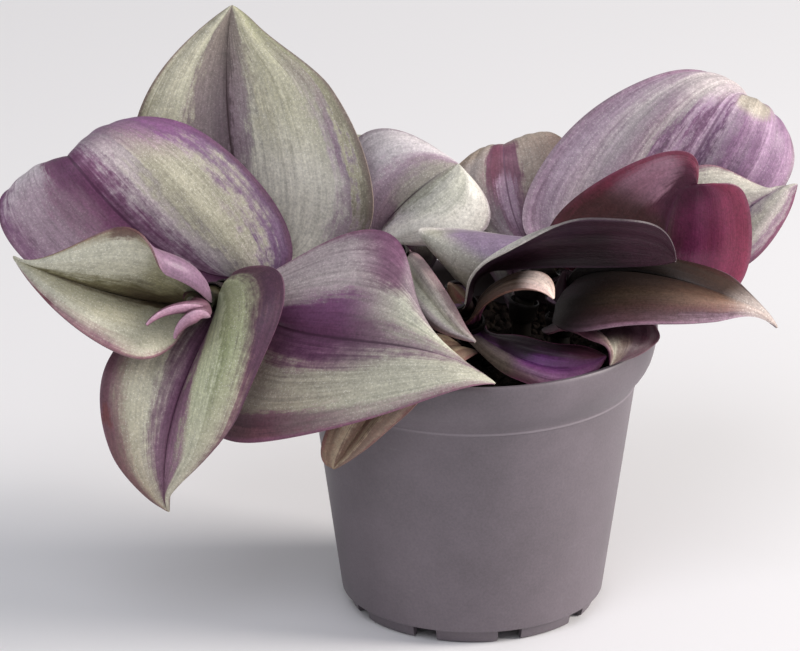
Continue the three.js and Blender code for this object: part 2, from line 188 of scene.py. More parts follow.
pot = spun("moulded_pot", POT_WALL, POT_SIDES)
cuts = bmesh.new()
for block in range(FOOT_BLOCKS):
    place = round_axis(FOOT_TURN + block * 360 / FOOT_BLOCKS, FOOT_CIRCLE, FOOT_HEIGHT)
    bmesh.ops.create_cube(cuts, size=1, matrix=place @ Matrix.Diagonal((*FOOT_NOTCH, 1)))
for hole in range(DRAIN_HOLES):
    place = round_axis(DRAIN_TURN + hole * 360 / DRAIN_HOLES, DRAIN_CIRCLE, DRAIN_HEIGHT)
    bmesh.ops.create_cone(cuts, cap_ends=True, segments=DRAIN_SIDES, radius1=DRAIN_RADIUS, radius2=DRAIN_RADIUS,
                          depth=DRAIN_CUT, matrix=place)
cutter = placed("cuts", bpy.data.meshes.new("cuts"))
cuts.to_mesh(cutter.data)
cuts.free()
cut = pot.modifiers.new("cut", "BOOLEAN")
cut.object, cut.operation, cut.solver = cutter, "DIFFERENCE", "EXACT"
pot.modifiers.new("weld", "WELD").merge_threshold = SAME_POINT

# Polypropylene as it leaves the mould: a dull satin skin, its colour faintly mottled, with very fine pits and a few
# long faint scuffs round the wall. The mottling is 11 mm wide. The pits are 0.4 mm apart, coarser than real, to show.
plastic, tree = new_material("moulded_polypropylene")
point = add(tree, "TexCoord").outputs["Object"]
cloud = add(tree, "TexNoise", {"Vector": point, "Scale": 90, "Detail": 3, "Roughness": .6})
pits = add(tree, "TexNoise", {"Vector": point, "Scale": 2500, "Detail": 2, "Roughness": .7})
flat = add(tree, "Mapping", {"Vector": point, "Scale": (60, 60, 1400)})
scuff = add(tree, "TexNoise", {"Vector": flat, "Scale": 1, "Detail": 3, "Roughness": .7})
tone = add(tree, "ValToRGB", {"Fac": cloud}, stops=[(.3, linear("#5F575D")), (.7, linear("#6A6168"))])
speck = add(tree, "MapRange", {"Value": pits, "From Min": .3, "From Max": .7, "To Min": .9, "To Max": 1.1})
shade = add(tree, "Mix", {0: 1, 6: tone, 7: speck}, data_type="RGBA", blend_type="MULTIPLY")
worn = add(tree, "MapRange", {"Value": scuff, "From Min": .66, "From Max": .78, "To Max": .25})
colour = add(tree, "Mix", {0: worn, 6: shade, 7: linear("#857C83")}, data_type="RGBA")

# The mould's line is a little paler: a painted highlight where its ridge catches the light.
# The inside of the wall is painted dark, painted shade, but for the top of the rim.
height = add(tree, "SeparateXYZ", {0: point})
off = add(tree, "Math", {0: height.outputs[2], 1: MOULD_LINE, 2: MOULD_LINE_HALF}, operation="COMPARE")
seam_highlight = add(tree, "Math", {0: off, 1: .35}, operation="MULTIPLY")
colour = add(tree, "Mix", {0: seam_highlight, 6: colour, 7: linear("#9A9198")}, data_type="RGBA")
facing = add(tree, "NewGeometry")
outward = add(tree, "VectorMath", {0: point, 1: tuple(POT_AXIS)}, operation="SUBTRACT")
level = add(tree, "VectorMath", {0: outward, 1: (1, 1, 0)}, operation="MULTIPLY")
inward = add(tree, "VectorMath", {0: level, 1: facing.outputs["Normal"]}, operation="DOT_PRODUCT")
inner_shade = add(tree, "MapRange", {"Value": inward, "From Min": -.004, "From Max": -.02, "To Max": .92})
high = add(tree, "MapRange", {"Value": height.outputs[2], "From Min": INNER_SHADE_FROM, "From Max": INNER_SHADE_FULL})
painted_inner_shade = add(tree, "Math", {0: inner_shade, 1: high}, operation="MULTIPLY")
colour = add(tree, "Mix", {0: painted_inner_shade, 6: colour, 7: linear("#1C1613")}, data_type="RGBA")
rough = add(tree, "MapRange", {"Value": cloud, "To Min": .42, "To Max": .56})
bump = add(tree, "Bump", {"Height": pits, "Strength": .25, "Distance": .00006})
skin = add(tree, "BsdfPrincipled", {"Base Color": colour, "Roughness": rough, "IOR": 1.49, "Normal": bump})
add(tree, "OutputMaterial", {"Surface": skin})
finished(pot, plastic, 35)
bpy.data.objects.remove(cutter)
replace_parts(pot, "pot")
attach(pot, "root")


# Soil. Damp peat compost, filled to six millimetres below the rim: a dark body with a bumpy top, loose crumbs of
# peat, short fibres and a few white grains of perlite lying on it.
SOIL_SIDES, SOIL_LEVEL, SOIL_TOP_FROM, SOIL_SINK = 72, .042, .0405, .0002
HUMP_HEIGHT, HUMPS_PER_M = .0009, 260
STREWN_FROM, STREWN_RADIUS, STREWN_STEEPEST = .0408, .0238, .6
# Each kind of litter: its count on a square metre, radius, seed and stretch.
LITTER = {"peat_crumbs": (420000, .00075, 3, (1, .85, .7)), "peat_fibres": (60000, .0005, 9, (4, .35, .35)),
          "perlite_grains": (3000, .0006, 23, (1, .9, .8))}
SOIL_WALL = [(.0, 3.55), (19.1, 3.55), (20, 4.6), (24.9, 37.6), (25.4, 39.4), (26.4, 40.9), (27.2, 41.8),
             (26.6, 42.05), (24.5, 42.1), (22, 42.1), (19.5, 42.1), (17, 42.1), (14.5, 42.1), (12, 42.1), (9.5, 42.1),
             (7, 42.1), (4.5, 42.1), (2, 42.1), (.0, 42.1)]
soil = spun("compost", SOIL_WALL, SOIL_SIDES)
smooth = soil.modifiers.new("finer", "SUBSURF")
smooth.subdivision_type, smooth.levels, smooth.render_levels = "SIMPLE", 1, 1
finished(soil)
for vertex in soil.data.vertices:
    if vertex.co.z > SOIL_TOP_FROM:
        vertex.co.z += HUMP_HEIGHT * noise.fractal(vertex.co * HUMPS_PER_M, 1, 2, 4) - SOIL_SINK

# Peat is brown-black and dull, its lumps about 1 mm wide. It is drawn near black: its own dark colour with painted
# shade.
peat, tree = new_material("damp_peat_and_shade")
point = add(tree, "TexCoord").outputs["Object"]
lumps = add(tree, "TexNoise", {"Vector": point, "Scale": 900, "Detail": 5, "Roughness": .7})
tone = add(tree, "ValToRGB", {"Fac": lumps}, stops=[(.3, linear("#0E0A08")), (.52, linear("#18110D")),
                                                    (.72, linear("#281E17"))])
bump = add(tree, "Bump", {"Height": lumps, "Strength": .8, "Distance": .0006})
skin = add(tree, "BsdfPrincipled", {"Base Color": tone, "Roughness": .85, "Specular IOR Level": .12, "Normal": bump})
add(tree, "OutputMaterial", {"Surface": skin})
soil.data.materials.append(peat)

# Perlite is a puffed glass, off-white, drawn here in darker greys as painted shade, with pores about 0.3 mm wide.
perlite, tree = new_material("perlite_grain")
point = add(tree, "TexCoord").outputs["Object"]
pores = add(tree, "TexNoise", {"Vector": point, "Scale": 3000, "Detail": 3})
tone = add(tree, "ValToRGB", {"Fac": pores}, stops=[(.35, linear("#665F56")), (.55, linear("#938C82"))])
skin = add(tree, "BsdfPrincipled", {"Base Color": tone, "Roughness": .9})
add(tree, "OutputMaterial", {"Surface": skin})


def new_group(name, **inputs):
    """A new tree of geometry nodes with inputs of these names and kinds, and the sockets that give their values."""
    made = bpy.data.node_groups.new(name, "GeometryNodeTree")
    for title, kind in {"Geometry": "Geometry", **inputs}.items():
        made.interface.new_socket(title, in_out="INPUT", socket_type="NodeSocket" + kind)
    made.interface.new_socket("Geometry", in_out="OUTPUT", socket_type="NodeSocketGeometry")
    return made, add(made, "NodeGroupInput").outputs


def grow(piece, group, **values):
    """Puts a tree of geometry nodes on a piece, with the values of its inputs."""
    nodes = piece.modifiers.new(group.name, "NODES")
    nodes.node_group = group
    sockets = {s.name: s.identifier for s in group.interface.items_tree if s.in_out == "INPUT"}
    for title, value in values.items():
        nodes[sockets[title]] = value


# Geometry Nodes strew the crumbs: seeded points on the soil's upward faces, a rough pebble on each, pushed about by
# noise so that no two are alike.
strew, given = new_group("strewn_crumbs", Density="Float", Size="Float", Seed="Int", Stretch="Vector",
                         Material="Material")
face = add(strew, "GeometryNodeInputNormal")
up = add(strew, "SeparateXYZ", {0: face})
place = add(strew, "GeometryNodeInputPosition")
height = add(strew, "SeparateXYZ", {0: place})
level = add(strew, "FunctionNodeCompare", {0: up.outputs[2], 1: STREWN_STEEPEST}, operation="GREATER_THAN")
above = add(strew, "FunctionNodeCompare", {0: height.outputs[2], 1: STREWN_FROM}, operation="GREATER_THAN")
both = add(strew, "FunctionNodeBooleanMath", {0: level, 1: above}, operation="AND")
flat = add(strew, "VectorMath", {0: place, 1: (POT_AXIS[0], POT_AXIS[1], SOIL_LEVEL)}, operation="SUBTRACT")
reach = add(strew, "VectorMath", {0: flat}, operation="LENGTH")
inside = add(strew, "FunctionNodeCompare", {0: reach, 1: STREWN_RADIUS}, operation="LESS_THAN")
chosen = add(strew, "FunctionNodeBooleanMath", {0: both, 1: inside}, operation="AND")
points = add(strew, "GeometryNodeDistributePointsOnFaces", {"Mesh": given["Geometry"], "Selection": chosen,
                                                            "Density": given["Density"], "Seed": given["Seed"]})
pebble = add(strew, "GeometryNodeMeshIcoSphere", {"Radius": given["Size"], "Subdivisions": 2})
shape = add(strew, "GeometryNodeTransform", {"Geometry": pebble, "Scale": given["Stretch"]})
turn = add(strew, "FunctionNodeRandomValue", {0: (0, 0, 0), 1: (6.28, 6.28, 6.28), "Seed": given["Seed"]},
           data_type="FLOAT_VECTOR")
size = add(strew, "FunctionNodeRandomValue", {2: .45, 3: 1.5, "Seed": given["Seed"]}, data_type="FLOAT")
crumbs = add(strew, "GeometryNodeInstanceOnPoints", {"Points": points, "Instance": shape, "Rotation": turn,
                                                     "Scale": size})
real = add(strew, "GeometryNodeRealizeInstances", {0: crumbs})
rough = add(strew, "TexNoise", {"Vector": place, "Scale": 1100, "Detail": 2})
centred = add(strew, "VectorMath", {0: rough.outputs["Color"], 1: (.5, .5, .5)}, operation="SUBTRACT")
push = add(strew, "VectorMath", {0: centred, "Scale": given["Size"]}, operation="SCALE")
harder = add(strew, "VectorMath", {0: push, "Scale": 1.6}, operation="SCALE")
moved = add(strew, "GeometryNodeSetPosition", {"Geometry": real, "Offset": harder})
painted = add(strew, "GeometryNodeSetMaterial", {"Geometry": moved, "Material": given["Material"]})
add(strew, "NodeGroupOutput", {0: painted})

for name, (count, radius, seed, stretch) in LITTER.items():
    stuff = perlite if name == "perlite_grains" else peat
    litter = placed(name, soil.data.copy())
    grow(litter, strew, Density=float(count), Size=radius, Seed=seed, Stretch=stretch, Material=stuff)
    finished(litter, stuff, 50)
    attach(litter, "root")
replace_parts(soil, "soil")
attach(soil, "root")


# Stems. Five juicy round shoots, about 3 mm thick, that stand in the soil and arch over the rim. Each is thicker at
# the joints where leaves grow, olive green flushed with purple, and finely streaked along its length.
STEM_RADIUS, STEM_SIDES, JOINT_SWELL, JOINT_LENGTH, STEM_FOOT, SOIL_SURFACE = .0016, 24, .00035, .018, 34, 42
STEM_END, STEM_END_DRAWN_IN = .025, 2.2
# Each stem's curve by its four points, in millimetres from the pot's axis, and how far along it its joints lie.
STEMS = {
    "a": [(-9, 4, 43), (-10, 6, 62), (-43.5, 15.5, 45.5), (-45, -21.5, 59.5)],
    "b": [(-7, 14, 43), (-8, 14, 52), (-14, 13, 56), (-15.5, 4.5, 59)],
    "c": [(8, 9, 43), (8, 9, 60), (20, 10, 57), (30, 2.5, 52)],
    "d": [(0, -3, 43), (0, -3, 48), (-1, -4, 52), (-3, -9, 56)],
    "e": [(14, -4, 43), (14, -4, 47), (14, -3, 51), (14, -3.5, 53.5)],
}
JOINTS = {"a": (.3, .62, .684, .765, .83, .913), "b": (.3, .6, .955), "c": (.08, .19, .35, .63, .8, .965),
          "d": (.12, .36, .62, .95), "e": (.5, .95)}


def unit(a):
    """The same directions, one unit long."""
    return a / np.linalg.norm(a, axis=-1, keepdims=True)


def on_stem(name, t):
    """Points in millimetres along a stem's curve, measured from the pot's axis."""
    a, b, c, d = np.array(STEMS[name], float)
    t = np.atleast_1d(t)[:, None]
    return (1 - t) ** 3 * a + 3 * (1 - t) ** 2 * t * b + 3 * (1 - t) * t * t * c + t ** 3 * d


# Stem flesh is clear and juicy under a smooth green skin. Its purple flush comes in patches of about 6 mm, its streaks
# run lengthwise, and towards its foot it is painted dark: painted shade of the pot's shaded inside.
SOIL_SHADE_TONE, SOIL_SHADE_FROM, SOIL_SHADE_FULL = "#0C0908", .06, .05
flesh, tree = new_material("stem_flesh")
way = add(tree, "UVMap", uv_map="blade")
point = add(tree, "TexCoord").outputs["Object"]
fine = add(tree, "Mapping", {"Vector": way, "Scale": (6, 34, 1)})
streak = add(tree, "TexNoise", {"Vector": fine, "Scale": 1, "Detail": 3, "Roughness": .6})
patch = add(tree, "TexNoise", {"Vector": point, "Scale": 160, "Detail": 2})
tone = add(tree, "ValToRGB", {"Fac": patch}, stops=[(.35, linear("#4A4630")), (.5, linear("#463C2C")),
                                                    (.68, linear("#432C34"))])
dark = add(tree, "MapRange", {"Value": streak, "From Min": .35, "From Max": .65, "To Min": .78, "To Max": 1.12})
colour = add(tree, "Mix", {0: 1, 6: tone, 7: dark}, data_type="RGBA", blend_type="MULTIPLY")
bump = add(tree, "Bump", {"Height": streak, "Strength": .4, "Distance": .00012})
height = add(tree, "SeparateXYZ", {0: point})
low_shade = add(tree, "MapRange", {"Value": height.outputs[2], "From Min": SOIL_SHADE_FROM, "From Max": SOIL_SHADE_FULL, "To Max": .9})
colour = add(tree, "Mix", {0: low_shade, 6: colour, 7: linear(SOIL_SHADE_TONE)}, data_type="RGBA")
skin = add(tree, "BsdfPrincipled", {"Base Color": colour, "Roughness": .38, "Normal": bump})
add(tree, "OutputMaterial", {"Surface": skin})

# Geometry Nodes sweep a circle along each stem's path. The path's points carry how much the stem swells there.
sweep, given = new_group("swept_stem", Radius="Float", Swell="Float", Material="Material")
path = add(sweep, "GeometryNodeMeshToCurve", {0: given["Geometry"]})
swell = add(sweep, "GeometryNodeInputNamedAttribute", {0: "swell"}, data_type="FLOAT")
extra = add(sweep, "Math", {0: swell, 1: given["Swell"], 2: given["Radius"]}, operation="MULTIPLY_ADD")
sized = add(sweep, "GeometryNodeSetCurveRadius", {"Curve": path, "Radius": extra})
along = add(sweep, "GeometryNodeSplineParameter")
kept = add(sweep, "GeometryNodeCaptureAttribute", {0: sized})
kept.capture_items.new("FLOAT", "Along")
sweep.links.new(along.outputs["Factor"], kept.inputs["Along"])
ring = add(sweep, "GeometryNodeCurvePrimitiveCircle", {"Resolution": STEM_SIDES, "Radius": 1.0})
around = add(sweep, "GeometryNodeCaptureAttribute", {0: ring})
around.capture_items.new("FLOAT", "Around")
sweep.links.new(along.outputs["Factor"], around.inputs["Around"])
tube = add(sweep, "GeometryNodeCurveToMesh", {"Curve": kept, "Profile Curve": around, "Scale": extra,
                                              "Fill Caps": True})
both = add(sweep, "CombineXYZ", {0: kept.outputs["Along"], 1: around.outputs["Around"]})
stored = add(sweep, "GeometryNodeStoreNamedAttribute", {"Geometry": tube, "Name": "blade", "Value": both},
             data_type="FLOAT2", domain="CORNER")
painted = add(sweep, "GeometryNodeSetMaterial", {"Geometry": stored, "Material": given["Material"]})
add(sweep, "NodeGroupOutput", {0: painted})

for letter in STEMS:
    t = np.concatenate([np.zeros(4), np.linspace(0, 1, 61)])
    line = on_stem(letter, t)
    line[:4, 2] = np.linspace(STEM_FOOT, SOIL_SURFACE, 5)[:4]
    bulge = sum(np.exp(-((t - joint) / JOINT_LENGTH) ** 2) for joint in JOINTS[letter])
    bulge = np.clip(bulge, 0, 1) - np.clip((t - 1 + STEM_END) / STEM_END, 0, 1) * STEM_END_DRAWN_IN
    mesh = bpy.data.meshes.new("path_" + letter)
    mesh.from_pydata([tuple(p) for p in line * .001 + POT_AXIS], [(i, i + 1) for i in range(len(t) - 1)], [])
    mesh.attributes.new("swell", "FLOAT", "POINT").data.foreach_set("value", bulge.astype(np.float32))
    stem = placed("shoot_" + letter, mesh)
    grow(stem, sweep, Radius=STEM_RADIUS, Swell=JOINT_SWELL, Material=flesh)
    finished(stem, flesh, 60)
    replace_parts(stem, "stem_" + letter)
    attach(stem, "root")


# Leaves. Each is one thin juicy blade with parallel veins that run together at the tip, folded along a sunken
# midrib, and its foot is a short sleeve round the stem. The upper skin is striped silver and purple, the lower purple.
ALONG, ACROSS, TIP_CROWDING = 76, 52, 1.15
BLADE, MIDRIB_KEEL, MIDRIB_WIDTH, GROOVE_WIDTH = .7, .28, .07, .04
EDGE_THINNING, TIP_THINNING, SHARP_ANGLE = .5, .45, 70
SLEEVE_IN, SLEEVE_WALL, SLEEVE_LENGTH, SLEEVE_SNUG, SLEEVE_FLARE, SLEEVE_LIP = 2.1, .3, 3.4, .3, .45, .16
CLASP, HUG_LENGTH, TIP_BLUNT, BEAK_FROM, BEAK_LENGTH = 80, .13, .16, .74, .18
MARGIN_LAG, RIPPLES, ROLL_IN, ROLL_OUT = .3, 3.3, .12, .22


def line_through(points, t):
    """A smooth line through evenly spaced points."""
    total, count = 0, len(points) - 1
    for i, point in enumerate(points):
        weight = np.ones(len(t))
        for j in range(count + 1):
            if j != i:
                weight = weight * (t * count - j) / (i - j)
        total = total + weight[:, None] * np.array(point, float)
    return total


def eased(x):
    """A share from 0 to 1 that starts and ends softly."""
    return x * x * (3 - 2 * x)


def blade_points(stem, joint, tip, spine, left, right, bow, wave, neck, out, rolls, groove, ripple, beak):
    """The middle surface of a blade: rows run from the sleeve to the tip, columns from margin to margin."""
    foot = on_stem(stem, joint)[0]
    axis = unit(on_stem(stem, joint + 1e-4)[0] - on_stem(stem, joint - 1e-4)[0])
    away = np.array(out if out else np.array(spine[0], float) - foot, float)
    away = unit(away - away.dot(axis) * axis)
    base = foot + away * (SLEEVE_IN + SLEEVE_WALL)
    side = np.cross(axis, away)
    if side.dot(np.array(right[0], float) - np.array(left[0], float)) < 0:
        side = -side
    lines = [[base - side * neck, *left, tip], [base, *spine, tip], [base + side * neck, *right, tip]]
    u = 1 - (1 - np.linspace(0, 1, ALONG + 1)) ** TIP_CROWDING
    a, m, b = [line_through(points, u) for points in lines]
    inner = np.clip(u, .12, .88)
    across = line_through(lines[2], inner) - line_through(lines[0], inner)
    along = unit(line_through(lines[1], np.minimum(u + .01, 1)) - line_through(lines[1], np.maximum(u - .01, 0)))
    across = unit(across - (across * along).sum(1, keepdims=True) * along)
    face = np.cross(across, along)
    blunt = (TIP_BLUNT * u ** 8)[:, None]
    drawn_in = eased(np.clip((u - BEAK_FROM) / BEAK_LENGTH, 0, 1))
    a, b = a - across * blunt, b + across * blunt
    a, b = a + (m - a) * (beak[0] * drawn_in)[:, None], b + (m - b) * (beak[1] * drawn_in)[:, None]
    swell = np.sin(np.pi * np.clip(u, 0, 1)) ** .7
    hug = (np.clip(1 - u / HUG_LENGTH, 0, 1) ** 1.6)[:, None]
    spread = np.linspace(-1, 1, ACROSS + 1)
    grid = np.zeros((ALONG + 1, ACROSS + 1, 3))
    for j, x in enumerate(spread):
        r, edge = abs(x), (a if x < 0 else b)
        phase = wave[2] + (MARGIN_LAG if x < 0 else 0)
        lift = (bow[0] if x < 0 else bow[1]) * math.sin(math.pi * r) ** 1.25
        lift = lift + wave[0] * r * r * np.sin(2 * np.pi * (wave[1] * u + phase))
        crease = np.sin(2 * np.pi * (RIPPLES * x + .6 * np.sin(3 * u) + phase))
        lift = lift + ripple * crease * min(max(r * 4 - .4, 0), 1)
        lift = lift - groove * math.exp(-(x / GROOVE_WIDTH) ** 2) * np.clip((1 - u) * 3, 0, 1)
        grid[:, j] = m + (edge - m) * r + face * (lift * swell)[:, None]
        turn = math.radians(CLASP) * x
        collar = foot + (SLEEVE_IN + SLEEVE_WALL * .5) * (math.cos(turn) * away + math.sin(turn) * side)
        grid[:, j] = grid[:, j] * (1 - hug) + collar * hug
    for hand, start, end, inner_r, angle in rolls:
        window = eased(np.clip((u - start) / ROLL_IN, 0, 1) * np.clip((end - u) / ROLL_OUT, 0, 1))
        order = list(range(ACROSS // 2, ACROSS + 1) if hand > 0 else range(ACROSS // 2, -1, -1))
        steps = [grid[:, q] - grid[:, p] for p, q in zip(order, order[1:])]
        for step, p, q in zip(steps, order, order[1:]):
            turn = math.radians(angle) * window * np.clip((abs(spread[q]) - inner_r) / (1 - inner_r), 0, 1)
            pole = -along * hand
            c, s = np.cos(turn)[:, None], np.sin(turn)[:, None]
            rolled = step * c + np.cross(pole, step) * s + pole * (pole * step).sum(1, keepdims=True) * (1 - c)
            grid[:, q] = grid[:, p] + rolled
    return grid, u, spread


def shell(grid, u, spread, half, keel=0.0):
    """A thin closed skin on both sides of a grid of points: its corners, their place on the blade, faces and sides."""
    normal = unit(np.cross(np.gradient(grid, axis=1), np.gradient(grid, axis=0)) + 1e-9)
    upper, lower = grid + normal * half, grid - normal * (half + keel)
    rows, cols = grid.shape[:2]
    size = rows * cols
    where = np.stack(np.meshgrid(u, (spread + 1) / 2, indexing="ij"), -1).reshape(-1, 2)
    at = np.arange(size).reshape(rows, cols)
    faces, marks = [], []
    for i in range(rows - 1):
        for j in range(cols - 1):
            a, b, c, d = at[i, j], at[i, j + 1], at[i + 1, j + 1], at[i + 1, j]
            faces += [(a, b, c, d), (d + size, c + size, b + size, a + size)]
            marks += [0, 1]
    rim = [*at[:, 0], *at[-1, 1:], *at[-2::-1, -1], *at[0, -2:0:-1]]
    for p, q in zip(rim, rim[1:] + rim[:1]):
        faces.append((p, q, q + size, p + size))
        marks.append(0)
    return np.concatenate([upper.reshape(-1, 3), lower.reshape(-1, 3)]), np.concatenate([where, where]), faces, marks


def joined(name, parts, skins):
    """One piece from shells, in millimetres from the pot's axis. Each part's faces take the skin of their mark."""
    corners, where, faces, marks = [], [], [], []
    for verts, uv, quads, sides in parts:
        start = sum(len(c) for c in corners)
        corners.append(verts)
        where.append(uv)
        faces += [tuple(int(i) + start for i in quad) for quad in quads]
        marks += sides
    mesh = bpy.data.meshes.new(name)
    mesh.from_pydata([tuple(p) for p in np.concatenate(corners) * .001 + POT_AXIS], [], faces)
    layer = mesh.uv_layers.new(name="blade")
    where = np.concatenate(where)
    used = np.zeros(len(mesh.loops), int)
    mesh.loops.foreach_get("vertex_index", used)
    layer.data.foreach_set("uv", where[used].astype(np.float32).ravel())
    for material in skins:
        mesh.materials.append(material)
    mesh.polygons.foreach_set("material_index", marks)
    mesh.polygons.foreach_set("use_smooth", [True] * len(mesh.polygons))
    mesh.set_sharp_from_angle(angle=math.radians(SHARP_ANGLE))
    made = placed(name, mesh)
    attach(made, "root")
    return made


def sleeve_round(stem, joint):
    """The sleeve at a leaf's foot: a thin tube that hugs the stem and opens a little at its mouth."""
    rows, sides = 13, 28
    speed = np.linalg.norm(on_stem(stem, joint + .01)[0] - on_stem(stem, joint - .01)[0]) / .02
    share = np.linspace(0, 1, rows)
    reach = (share - .5) * SLEEVE_LENGTH / speed
    centre = on_stem(stem, np.minimum(joint + reach, 1))
    axis = unit(np.gradient(on_stem(stem, joint + reach), axis=0))
    first = unit(np.cross(axis, np.array([.3, .2, 1.0])))
    second = np.cross(axis, first)
    angle = np.arange(sides) / sides * math.tau
    rings, where = [], []
    for outer in (1, 0):
        for k in range(rows):
            wall = SLEEVE_LIP + SLEEVE_WALL * math.sin(math.pi * share[k]) ** .5
            radius = SLEEVE_IN - SLEEVE_SNUG + SLEEVE_FLARE * share[k] ** 2 + outer * wall
            rings.append(centre[k] + radius * (first[k] * np.cos(angle)[:, None] + second[k] * np.sin(angle)[:, None]))
            where.append(np.stack([np.full(sides, share[k]), angle / math.tau], -1))
    at = np.arange(2 * rows * sides).reshape(2, rows, sides)
    faces = []
    for s in range(sides):
        n = (s + 1) % sides
        for k in range(rows - 1):
            faces.append((at[0, k, s], at[0, k, n], at[0, k + 1, n], at[0, k + 1, s]))
            faces.append((at[1, k + 1, s], at[1, k + 1, n], at[1, k, n], at[1, k, s]))
        faces.append((at[0, 0, n], at[0, 0, s], at[1, 0, s], at[1, 0, n]))
        faces.append((at[0, -1, s], at[0, -1, n], at[1, -1, n], at[1, -1, s]))
    return np.concatenate(rings), np.concatenate(where), faces, [2] * len(faces)


def striped(row):
    """Colour stops from a row of places across the blade and hex codes."""
    return [((float(at) + 1) / 2, linear(code)) for at, code in (pair.split(":") for pair in row.split())]


def blade_skin(name, stripes, tip=None, fade=(.5, .9), patches=(), line="#4A3540", edge="#6E4A58", edge_width=.03,
               painted_sparkle=.5, veins=.12, ragged=(.05, .13), rough=.46, shade_near_soil=False, seed=0.0):
    """Living leaf skin. Stripes are places across the blade, from -1 at the left margin to 1 at the right, and colours.

    The tip has its own stripes, that fade in along the blade. Each patch is a soft oval: its place along and across,
    its length and width, its colour and its strength.
    """
    made, tree = new_material(name)
    way = add(tree, "UVMap", uv_map="blade")
    place = add(tree, "SeparateXYZ", {0: way})
    point = add(tree, "TexCoord").outputs["Object"]

    # Veins run the whole length side by side, so their noise is drawn out along the blade: some 60 cell rows across.
    drawn = add(tree, "Mapping", {"Vector": way, "Scale": (3.2, 60, 1), "Location": (seed, seed, seed)})
    streak = add(tree, "TexNoise", {"Vector": drawn, "Scale": 1, "Detail": 4, "Roughness": .62})
    broad = add(tree, "Mapping", {"Vector": way, "Scale": (3.4, 9, 1), "Location": (seed + 5, seed, 2)})
    drift = add(tree, "TexNoise", {"Vector": broad, "Scale": 1, "Detail": 5, "Roughness": .68})
    first = add(tree, "Math", {0: streak, 1: ragged[0] * 2, 2: place.outputs[1]}, operation="MULTIPLY_ADD")
    second = add(tree, "Math", {0: drift, 1: ragged[1] * 2, 2: first}, operation="MULTIPLY_ADD")
    mottle = add(tree, "TexNoise", {"Vector": point, "Scale": 640, "Detail": 4, "Roughness": .66})
    third = add(tree, "Math", {0: mottle, 1: ragged[0] * 1.8, 2: second}, operation="MULTIPLY_ADD")
    across = add(tree, "Math", {0: third, 1: ragged[0] * 1.9 + ragged[1]}, operation="SUBTRACT")
    colour = add(tree, "ValToRGB", {"Fac": across}, stops=striped(stripes))
    if tip:
        ending = add(tree, "ValToRGB", {"Fac": across}, stops=striped(tip))
        near = add(tree, "MapRange", {"Value": place, "From Min": fade[0], "From Max": fade[1]},
                   interpolation_type="SMOOTHSTEP")
        colour = add(tree, "Mix", {0: near, 6: colour, 7: ending}, data_type="RGBA")

    # The margin is a thin line of thicker cells. The patches lie over it.
    middle = add(tree, "Math", {0: place.outputs[1], 1: .5}, operation="SUBTRACT")
    apart = add(tree, "Math", {0: middle}, operation="ABSOLUTE")
    outer = add(tree, "MapRange", {"Value": apart, "From Min": .5 - edge_width, "From Max": .497, "To Max": .8},
                interpolation_type="SMOOTHSTEP")
    colour = add(tree, "Mix", {0: outer, 6: colour, 7: linear(edge)}, data_type="RGBA")
    spot = add(tree, "CombineXYZ", {0: place, 1: across})
    for u, v, long, wide, code, strength in patches:
        off = add(tree, "VectorMath", {0: spot, 1: (u, (v + 1) / 2, 0)}, operation="SUBTRACT")
        shaped = add(tree, "VectorMath", {0: off, 1: (1 / long, 2 / wide, 0)}, operation="MULTIPLY")
        away = add(tree, "VectorMath", {0: shaped}, operation="LENGTH")
        mask = add(tree, "MapRange", {"Value": away, "From Min": 1.1, "From Max": .55, "To Max": strength},
                   interpolation_type="SMOOTHSTEP")
        colour = add(tree, "Mix", {0: mask, 6: colour, 7: linear(code)}, data_type="RGBA")

    # The silver is air under the clear outer cells. They are about 0.4 mm wide; their glints are painted highlights,
    # pale specks mixed into the colour where the skin is bright.
    cells = add(tree, "TexNoise", {"Vector": point, "Scale": 2300, "Detail": 2, "Roughness": .7})
    grain = add(tree, "MapRange", {"Value": cells, "From Min": .28, "From Max": .72, "To Min": .8, "To Max": 1.2})
    fibre = add(tree, "MapRange", {"Value": streak, "From Min": .3, "From Max": .7, "To Min": 1 - veins,
                                   "To Max": 1 + veins})
    cloud = add(tree, "MapRange", {"Value": mottle, "From Min": .32, "From Max": .68, "To Min": .88, "To Max": 1.12})
    both = add(tree, "Math", {0: grain, 1: fibre}, operation="MULTIPLY")
    both = add(tree, "Math", {0: both, 1: cloud}, operation="MULTIPLY")
    colour = add(tree, "Mix", {0: 1, 6: colour, 7: both}, data_type="RGBA", blend_type="MULTIPLY")
    bright = add(tree, "RGBToBW", {0: colour})
    silver = add(tree, "MapRange", {"Value": bright, "From Min": .1, "From Max": .5, "To Max": painted_sparkle})
    sparks = add(tree, "TexVoronoi", {"Vector": point, "Scale": 2600})
    lit = add(tree, "MapRange", {"Value": sparks, "From Min": .32, "From Max": .12})
    painted_glint = add(tree, "Math", {0: silver, 1: lit}, operation="MULTIPLY")
    colour = add(tree, "Mix", {0: painted_glint, 6: colour, 7: linear("#F4F2EA")}, data_type="RGBA")

    # The midrib is a narrow dark groove that fades before the tip.
    line_width = .012
    groove = add(tree, "MapRange", {"Value": apart, "From Min": line_width, "From Max": line_width * .2,
                                    "To Max": .75}, interpolation_type="SMOOTHSTEP")
    fading = add(tree, "MapRange", {"Value": place, "From Min": 1, "From Max": .7})
    drawn = add(tree, "Math", {0: groove, 1: fading}, operation="MULTIPLY")
    colour = add(tree, "Mix", {0: drawn, 6: colour, 7: linear(line)}, data_type="RGBA")
